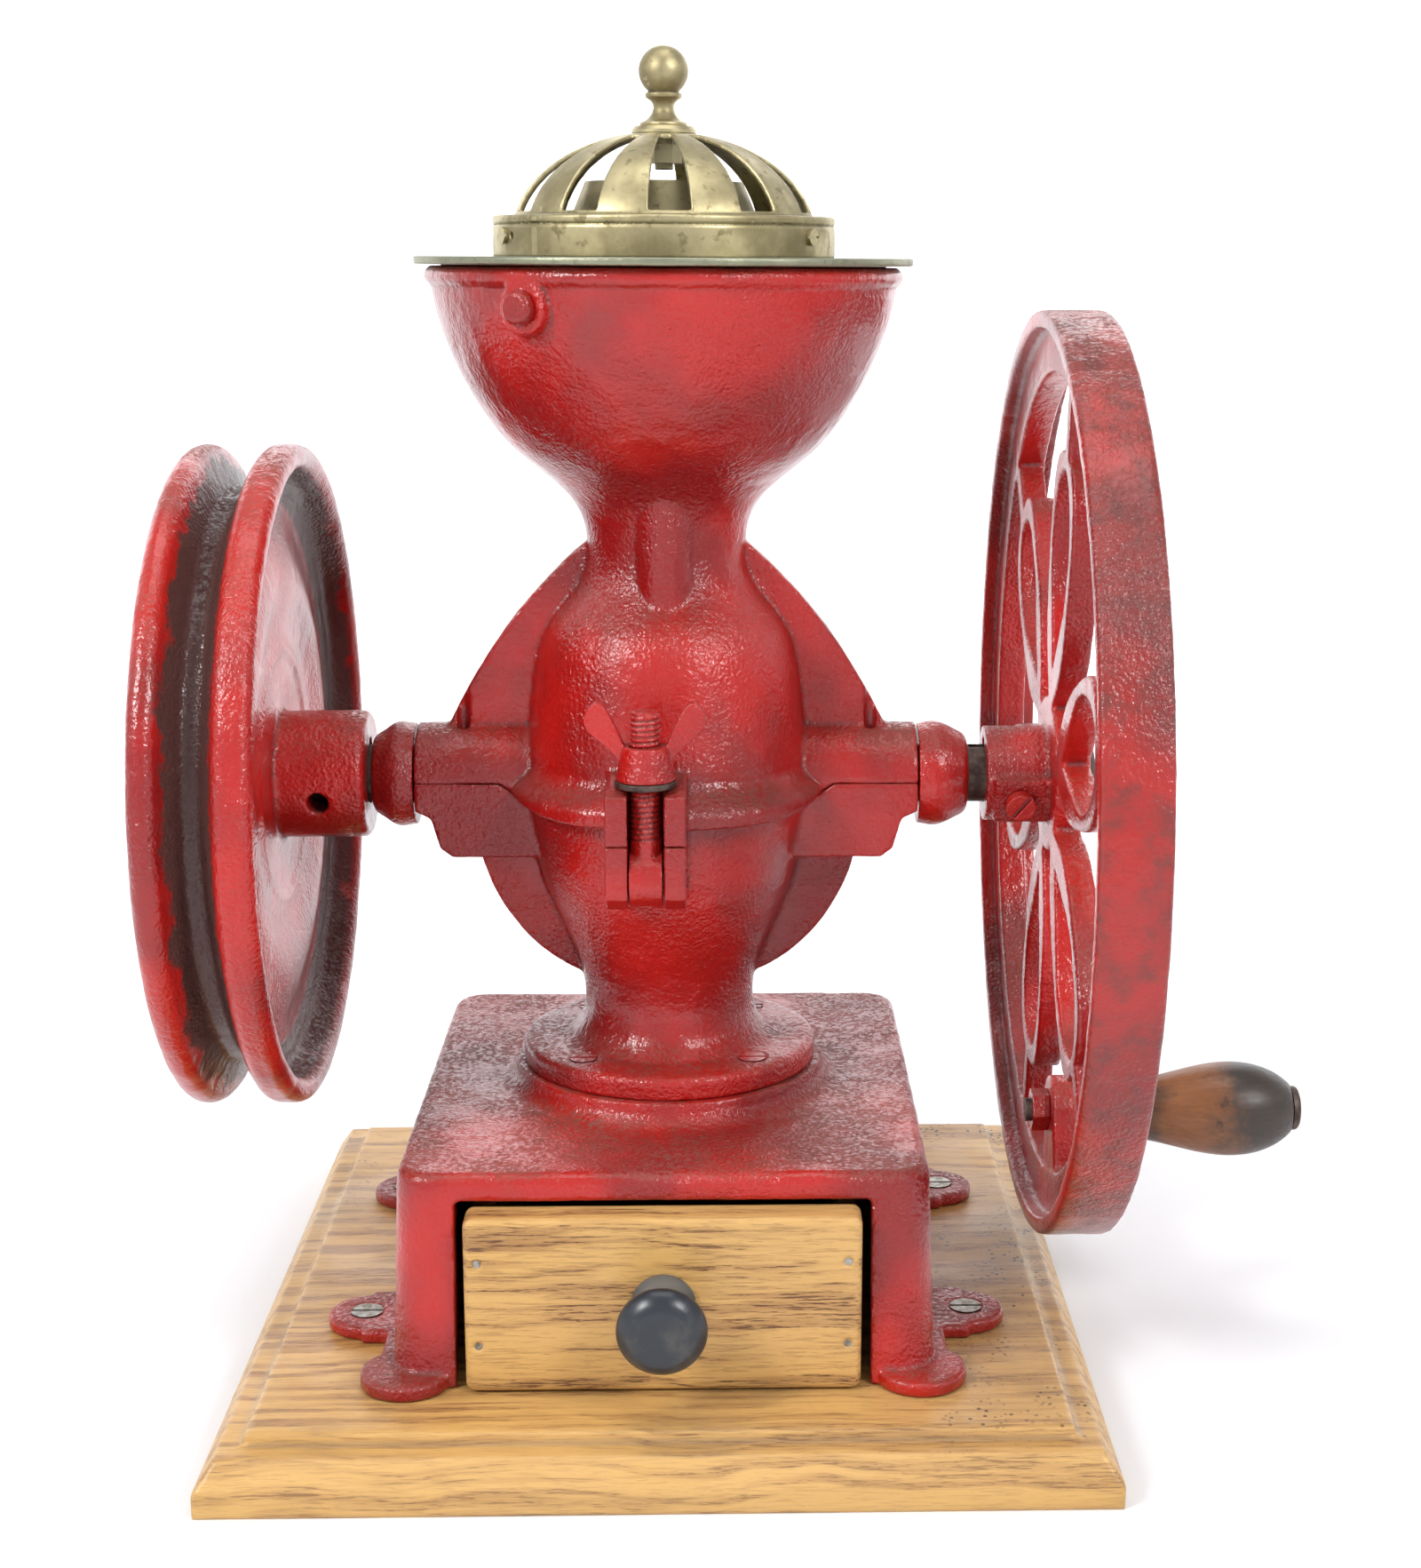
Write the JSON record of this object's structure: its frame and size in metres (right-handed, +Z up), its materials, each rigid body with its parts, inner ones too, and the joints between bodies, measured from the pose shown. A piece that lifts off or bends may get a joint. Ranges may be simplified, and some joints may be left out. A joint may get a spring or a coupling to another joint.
{
  "type": "hand coffee mill",
  "caption": "Hand-cranked cast-iron counter coffee mill with a hopper, belt pulley, spoked flywheel, drawer base and oak board.",
  "frame": {"origin": "centre of the board's underside, on the mill's upright axis", "axes": "+Z up; +X along the shaft towards the flywheel; -Y towards the user and the drawer front"},
  "size_m": [0.381, 0.3174, 0.4433],
  "materials": {
    "oak_board": "worn satin oak",
    "oak_drawer": "worn satin oak",
    "dark_wood": "worn dark stain",
    "red_enamel": "glossy thick enamel, dusty",
    "brass": "aged satin brass",
    "plate_brass": "dull greenish brass",
    "slate_knob": "satin slate black",
    "zinc": "dull zinc",
    "bare_iron": "dark oiled iron",
    "steel": "browned steel"
  },
  "bodies": {
    "stand": {"base_board": "oak_board", "iron_base": "red_enamel", "base_screws": "zinc", "lower_body": "red_enamel", "upper_body": "red_enamel", "hopper": "red_enamel", "hopper_bolt": "red_enamel", "hopper_nut": "steel", "flange_screws": "red_enamel", "hinge_pin": "red_enamel", "clamp_pin": "red_enamel", "fixed_burr": "bare_iron"},
    "rotor": {"shaft": "steel", "shaft_keys": "steel", "left_collar": "red_enamel", "right_collar": "red_enamel", "turning_burr": "bare_iron", "burr_hub": "bare_iron", "hub_screw": "steel", "feed_worm": "bare_iron", "pulley": "red_enamel", "flywheel": "red_enamel", "wheel_set_screw": "red_enamel", "crank_bolt": "steel", "crank_washer": "steel", "crank_nut": "red_enamel"},
    "crank": {"crank_grip": "dark_wood"},
    "clamp": {"swing_bolt": "red_enamel"},
    "washer": {"clamp_washer": "steel"},
    "nut": {"wing_nut": "red_enamel"},
    "lid": {"flange_plate": "plate_brass", "gallery_ring": "brass", "gallery_screws": "brass", "inner_collar": "brass", "dome": "brass", "dome_cap": "brass", "finial": "brass", "finial_nut": "brass"},
    "drawer": {"drawer_front": "oak_drawer", "drawer_left_side": "oak_drawer", "drawer_right_side": "oak_drawer", "drawer_back": "oak_drawer", "drawer_bottom": "oak_drawer", "drawer_knob": "slate_knob", "knob_screw": "zinc", "drawer_nails": "zinc"}
  },
  "joints": [
    {"name": "rotor_spin", "type": "hinge", "parent": "stand", "child": "rotor", "pos_m": [0, 0, 0.2008], "axis": [1, 0, 0], "continuous": true},
    {"name": "grip_spin", "type": "hinge", "parent": "rotor", "child": "crank", "pos_m": [0.18, -0.03225, 0.08833], "axis": [1, 0, 0], "continuous": true},
    {"name": "clamp_swing", "type": "hinge", "parent": "stand", "child": "clamp", "pos_m": [-0.0055, -0.068, 0.181], "axis": [1, 0, 0], "range_deg": [0, 100]},
    {"name": "washer_lift", "type": "slide", "parent": "clamp", "child": "washer", "axis": [0, 0, 1], "range_m": [0, 0.0035]},
    {"name": "nut_spin", "type": "hinge", "parent": "washer", "child": "nut", "pos_m": [-0.0055, -0.068, 0.22], "axis": [0, 0, 1], "range_deg": [0, 720]},
    {"name": "lid_lift", "type": "slide", "parent": "stand", "child": "lid", "axis": [0, 0, 1], "range_m": [0, 0.08]},
    {"name": "drawer_slide", "type": "slide", "parent": "stand", "child": "drawer", "axis": [0, -1, 0], "range_m": [0, 0.15]}
  ],
  "couplings": [
    {"joint": "washer_lift", "follows": "nut_spin", "m_per_rad": 0.00027852}
  ]
}
